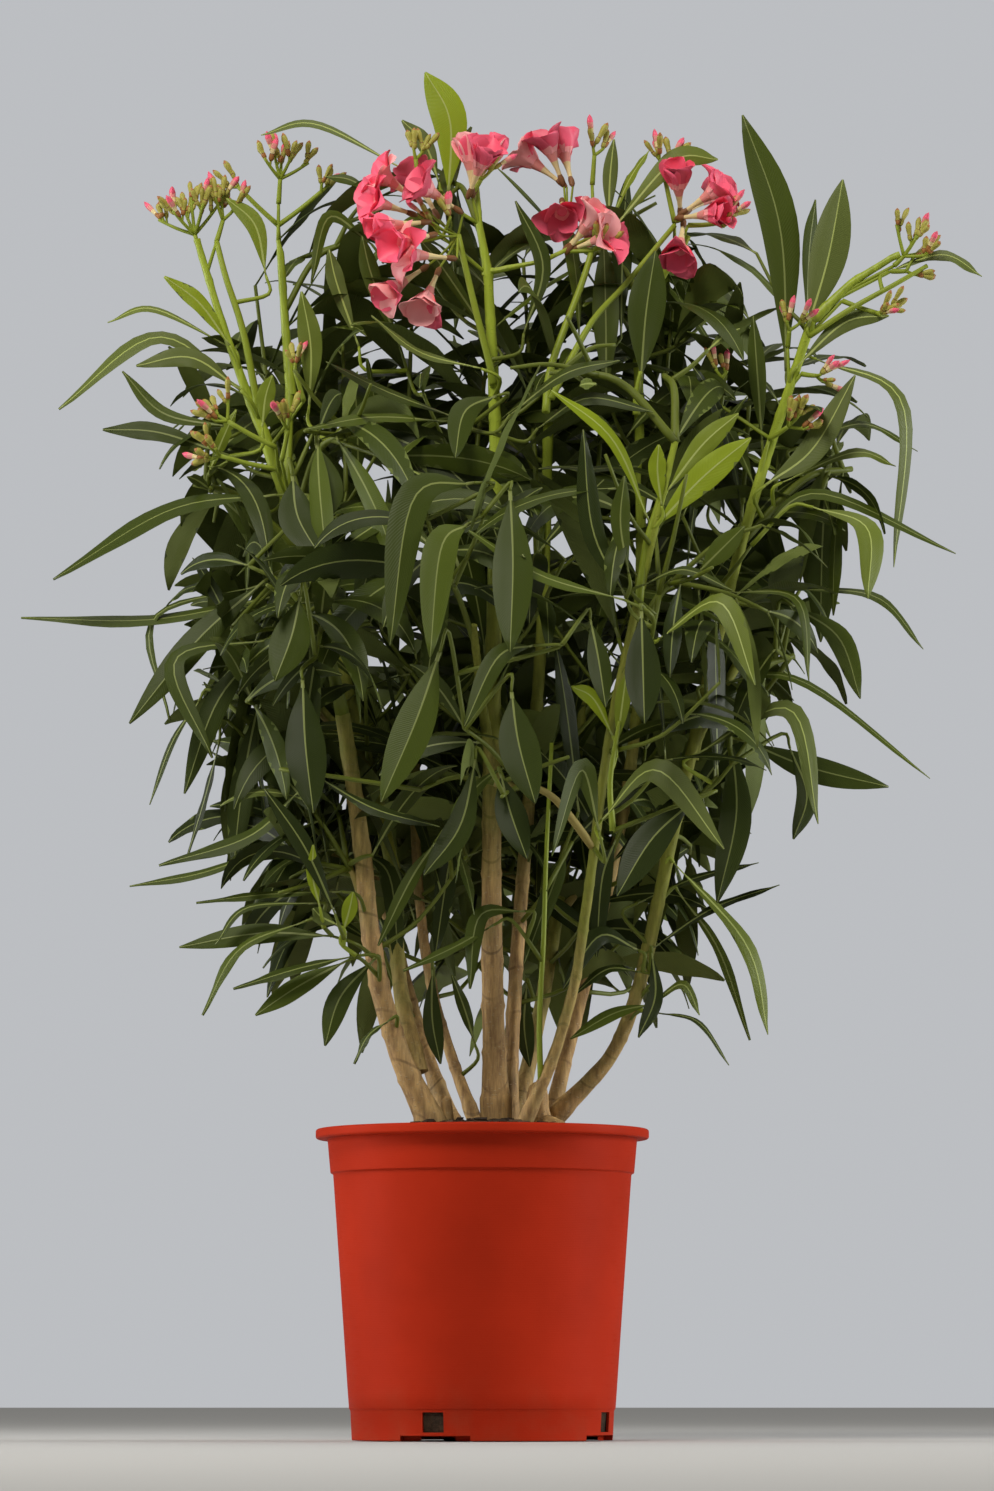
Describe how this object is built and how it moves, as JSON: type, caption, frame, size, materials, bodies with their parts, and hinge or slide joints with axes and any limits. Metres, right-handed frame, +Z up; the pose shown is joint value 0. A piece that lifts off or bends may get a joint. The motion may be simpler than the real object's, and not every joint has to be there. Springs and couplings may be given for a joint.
{
  "type": "potted oleander shrub",
  "caption": "Pink-flowering oleander shrub with whorled narrow leaves on woody stems, growing in a round tapered plastic nursery pot that stands on its own flat foot",
  "frame": {"origin": "centre of the pot's flat underside, at the level the pot stands on", "axes": "+Z up, front of the plant towards -Y, +X to the right seen from the front"},
  "size_m": [0.698, 0.482, 0.994],
  "materials": {
    "pot_plastic": "satin injection-moulded red-orange polypropylene",
    "potting_compost": "moist dark crumbly bark and peat compost",
    "bark": "smooth tan-brown bark with pale lenticels and ring scars, greener higher up",
    "green_shoot": "smooth yellow-green young shoot",
    "foliage": "leathery dark green leaf with a soft sheen and pale midrib",
    "blossom": "soft crimson-pink petals with pale tubes"
  },
  "bodies": {
    "root": {"pot": "pot_plastic", "compost": "potting_compost", "bud_head_far_left": "blossom", "bud_head_left": "blossom", "flower_head_left": "blossom", "flower_head_centre": "blossom", "flower_head_rear": "blossom", "flower_head_fork": "blossom", "flower_head_right": "blossom", "bud_head_right": "blossom", "leaves_low_left": "foliage", "leaves_low_right": "foliage", "leaves_low_front": "foliage", "leaves_low_back": "foliage", "leaves_low_back_left": "foliage", "leaves_low_back_right": "foliage", "leaves_mid_left": "foliage", "leaves_mid_left_front": "foliage", "leaves_mid_front": "foliage", "leaves_mid_right_front": "foliage", "leaves_mid_right": "foliage", "leaves_mid_back_right": "foliage", "leaves_mid_back": "foliage", "leaves_mid_back_left": "foliage", "leaves_high_left": "foliage", "leaves_high_left_front": "foliage", "leaves_high_front": "foliage", "leaves_high_right_front": "foliage", "leaves_high_right": "foliage", "leaves_high_back_right": "foliage", "leaves_high_back": "foliage", "leaves_high_back_left": "foliage", "leaves_top_left": "foliage", "leaves_top_centre": "foliage", "leaves_top_right": "foliage", "leaves_right_tall": "foliage", "leaves_right_tip": "foliage", "stem_centre": "bark", "stem_left": "bark", "stem_left_fork": "bark", "stem_inner_left": "bark", "stem_rear_centre": "bark", "stem_front_right": "bark", "stem_right": "bark", "stem_right_rear": "bark", "stem_back_left": "bark", "stem_back_right": "bark", "stub_thick": "bark", "stub_thin": "bark", "bough_left": "bark", "bough_right": "bark", "bough_front": "bark", "shoot_far_left": "green_shoot", "shoot_left": "green_shoot", "shoot_centre_fork": "green_shoot", "shoot_centre_tip": "green_shoot", "shoot_right_tip": "green_shoot", "shoot_upper_right": "green_shoot"}
  },
  "joints": []
}
